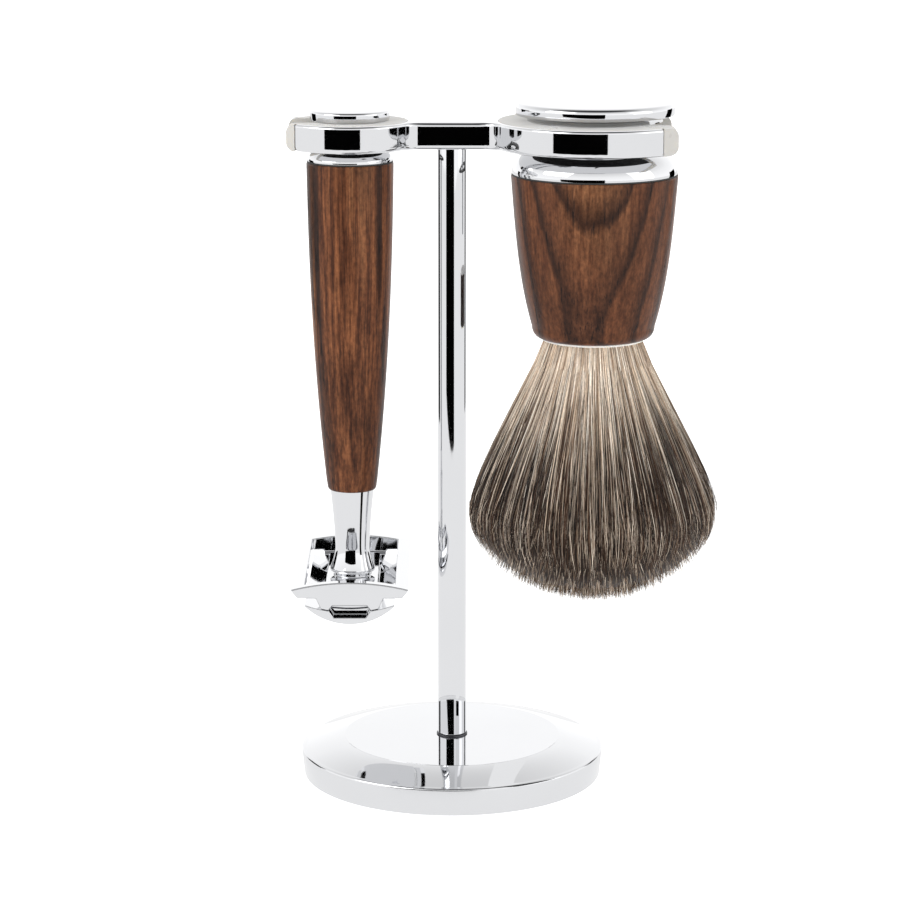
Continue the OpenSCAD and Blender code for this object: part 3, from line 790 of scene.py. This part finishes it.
def end_hair(u, theta, length, jut):
    """The last stretch of a hair that ends at u on the knot's shape, or jut past it."""
    count = 4
    r, z = surface(u)
    tip = Vector((AXIS + r * math.cos(theta), r * math.sin(theta), z))
    apex = Vector((AXIS, 0, ROOT_Z + 14))
    along = (tip - apex).normalized()
    along = (along + Vector((rng.gauss(0, 0.085), rng.gauss(0, 0.085), rng.gauss(0, 0.04)))).normalized()
    tip = tip + along * jut
    bend = Vector((rng.gauss(0, 0.3), rng.gauss(0, 0.3), 0))
    points, widths, cols = [], [], []
    tone = hair_tones(theta + 40 * u)
    width = rng.uniform(0.13, 0.23)
    dim = rng.uniform(0.55, 1.25)
    for t in shares(count - 1):
        points.append(tip - along * length * (1 - t) + bend * t * t)
        widths.append(width * (1 - 0.6 * t))
        cols.append(scaled(tone(0.66 + 0.34 * t), dim))
    tilt = rng.uniform(-1.0, 1.0)
    return points, widths, Vector((math.cos(theta + tilt), math.sin(theta + tilt), -0.4 * (u - 1))), cols


def knot_core():
    """Solid heart of the knot, a little inside the hairs, with a streak of its own tone per column and
    painted shade that darkens it towards the tip.
    """
    columns, inset_z = 360, 3.0
    profile = [(0, TIP_Z + inset_z)]
    for s in shares(16, 1)[:-1]:
        r, z = surface(2 - s)
        profile.append((r * 0.94, z + inset_z * (1 - s)))
    for s in reversed(shares(24)):
        r, z = surface(s)
        profile.append((r - 1.2 * s - 0.3, z))
    profile.append((0, ROOT_Z))
    core = lathe("knot_core", profile, BRUSH_X, HAIR, columns, 60)
    streak = [rng.random() for _ in range(columns)]
    tones = []
    for v in core.data.vertices:
        turn = (math.atan2(v.co.y, v.co.x - BRUSH_X) + math.pi) / (2 * math.pi)
        dark = streak[int(turn * (columns - 0.01)) % columns]
        t = max(0, min(1, (ROOT_Z - v.co.z / MM) / (ROOT_Z - TIP_Z)))
        root, tip = lerp3(CREAM[1], DARK[2], dark * 0.7), lerp3(DARK[0], DARK[2], dark)
        tone = lerp3(root, tip, ease((t - 0.1) / 0.35))
        # painted shade: the core is dimmed because it lies under the hairs, and more so towards the tip
        tones.append(scaled(tone, 0.95 - 0.3 * t))
    set_tones(core, tones)
    add(core, "brush")
    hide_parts("hair_knot")
    return core


def side_strands(count):
    """Most hairs reach the round end, some stop on the side, and a few stand off, but not beside the post."""
    strands = []
    for _ in range(count):
        theta = rng.uniform(0, 2 * math.pi)
        depth = rng.random() ** 1.4 * 1.1
        kind = rng.random()
        if kind < 0.45:
            u_end = rng.uniform(1.02, 1.34)
        elif kind < 0.85:
            u_end = rng.uniform(0.80, 1.10)
        else:
            u_end = rng.uniform(0.35, 0.8)
        lift = rng.gauss(0.05, 0.30)
        if rng.random() < 0.16:
            u_end, lift = rng.uniform(0.93, 1.12), rng.uniform(0.4, 1.3)
        near_post = max(0.0, -math.cos(theta)) ** 8
        lift = min(lift, 1.4 * (1 - near_post) - 0.1)
        strands.append(side_hair(depth, u_end, theta, rng.gauss(0, 0.045), lift))
    return strands


def end_strands(count):
    """Hair tips over the round end and just above it, which jut out less beside the post."""
    strands = []
    for _ in range(count):
        theta = rng.uniform(0, 2 * math.pi)
        u = 1 + math.sqrt(rng.random()) if rng.random() < 0.3 else rng.uniform(0.97, 1.8)
        u = min(u, 1.98)
        most = 0.1 if math.cos(theta) < -0.9 and u < 1.3 else 0.75
        strands.append(end_hair(u, theta, rng.uniform(4, 10), min(most, rng.gauss(0.0, 0.5))))
    return strands


core = knot_core()
SIDE, END = ((9000, 11000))
side_hairs = hairs("knot_side_hair", side_strands(SIDE))
end_hairs = hairs("knot_end_hair", end_strands(END))

# these pieces keep out of the stand's polish, as in the composed picture
for ob in (razor_knob, grip_wood, brush_knob, handle_wood, core, side_hairs, end_hairs):
    ob.visible_glossy = False


# ---------------------------------------------------------------- studio
def plane(name, size, at, turn, mat, seen=False):
    """A rectangle of the studio, with its turn in degrees. If not seen, it shows in reflections only."""
    w, h = size[0] / 2, size[1] / 2
    me = bpy.data.meshes.new(name)
    me.from_pydata([(-w, -h, 0), (w, -h, 0), (w, h, 0), (-w, h, 0)], [], [(0, 1, 2, 3)])
    me.materials.append(mat)
    ob = bpy.data.objects.new(name, me)
    scene.collection.objects.link(ob)
    ob.location = at
    ob.rotation_euler = [deg(a) for a in turn]
    ob.visible_camera = seen
    ob.visible_shadow = seen
    ob.visible_diffuse = seen
    ob.visible_glossy = not seen
    ob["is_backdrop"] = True
    return ob


def stage_material(name, grey, glow):
    mat, nt, b = new_material(name)
    b.inputs["Base Color"].default_value = (grey, grey, grey, 1)
    b.inputs["Roughness"].default_value = 0.9
    b.inputs["Specular IOR Level"].default_value = 0.0
    b.inputs["Emission Color"].default_value = (1, 1, 1, 1)
    b.inputs["Emission Strength"].default_value = glow
    return mat


def area(name, size, at, aim, power):
    light = bpy.data.lights.new(name, "AREA")
    light.shape = "RECTANGLE"
    light.size, light.size_y = size
    light.energy = power
    ob = bpy.data.objects.new(name, light)
    scene.collection.objects.link(ob)
    ob.location = at
    ob.rotation_euler = (Vector(aim) - Vector(at)).to_track_quat("-Z", "Y").to_euler()
    return ob


def sky():
    """Even white at the horizon that falls off to a dark zenith, which draws the dark rims in the chrome."""
    world = bpy.data.worlds.new("studio")
    scene.world = world
    world.use_nodes = True
    nt = world.node_tree
    way = nt.nodes.new("ShaderNodeTexCoord")
    split = nt.nodes.new("ShaderNodeSeparateXYZ")
    link(nt, way.outputs["Generated"], split.inputs[0])
    greys = [(0.0, 1.0), (0.10, 1.0), (0.40, 0.90), (0.80, 0.60)]
    stops = [(at, (grey, grey, grey)) for at, grey in greys] + [(0.93, (0.05, 0.05, 0.052))]
    background = nt.nodes["Background"]
    link(nt, ramp(nt, split.outputs["Z"], stops), background.inputs["Color"])
    background.inputs["Strength"].default_value = 1.3


FLOOR = stage_material("studio_floor", 0.80, 0.80)
GLOW = stage_material("studio_floor_in_reflections", 0.0, 1.05)
CARD = stage_material("studio_card", 0.0005, 0.0)
FLOOR_Z = low("base_pad").z
MIDDLE = (0, 0, 0.07)

plane("floor", (6, 6), (0, 0, FLOOR_Z), (0, 0, 0), FLOOR, seen=True)
plane("floor_in_reflections", (6, 6), (0, 0, FLOOR_Z - 0.0002), (0, 0, 0), GLOW)
plane("card_front", (0.41, 0.155), (-0.115, -0.30, 0.0815), (90, 0, 0), CARD)
plane("card_neck", (0.020, 0.040), (0.032, -0.033, 0.030), (90, 0, 60), CARD)
plane("card_shield", (0.010, 0.06), (0.0125, -0.0135, 0.04), (90, 0, 43), GLOW)
plane("card_left", (0.16, 0.16), (-0.30, 0.20, 0.082), (90, 0, 60), CARD)
plane("card_right", (0.12, 0.16), (0.30, 0.24, 0.082), (90, 0, -58), CARD)

area("key", (0.9, 0.7), (-0.9, -0.5, 0.9), MIDDLE, 5)
area("fill", (0.7, 0.9), (1.0, -0.35, 0.5), MIDDLE, 1.2)
area("top", (1.2, 1.2), (0, 0.1, 1.3), (0, 0, 0), 2).visible_glossy = False
sky()
scene.view_settings.view_transform = "Standard"


# ---------------------------------------------------------------- camera at the photograph's viewing angle
CAMERA_AT = (0.0, -0.645874, 0.206095)
LOOKS_DOWN = 12.112
LENS = 129.70

cam = bpy.data.cameras.new("camera")
cam.sensor_width = 36.0
cam.lens = LENS
cam.clip_start = 0.01
camera = bpy.data.objects.new("camera", cam)
scene.collection.objects.link(camera)
camera.location = CAMERA_AT
camera.rotation_euler = (deg(90 - LOOKS_DOWN), 0, 0)
scene.camera = camera

visual_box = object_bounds()
plain_list = lambda b: [[round(float(x), 6) for x in corner] for corner in b]
{"cad": plain_list(cad_box), "visual": plain_list(visual_box)}
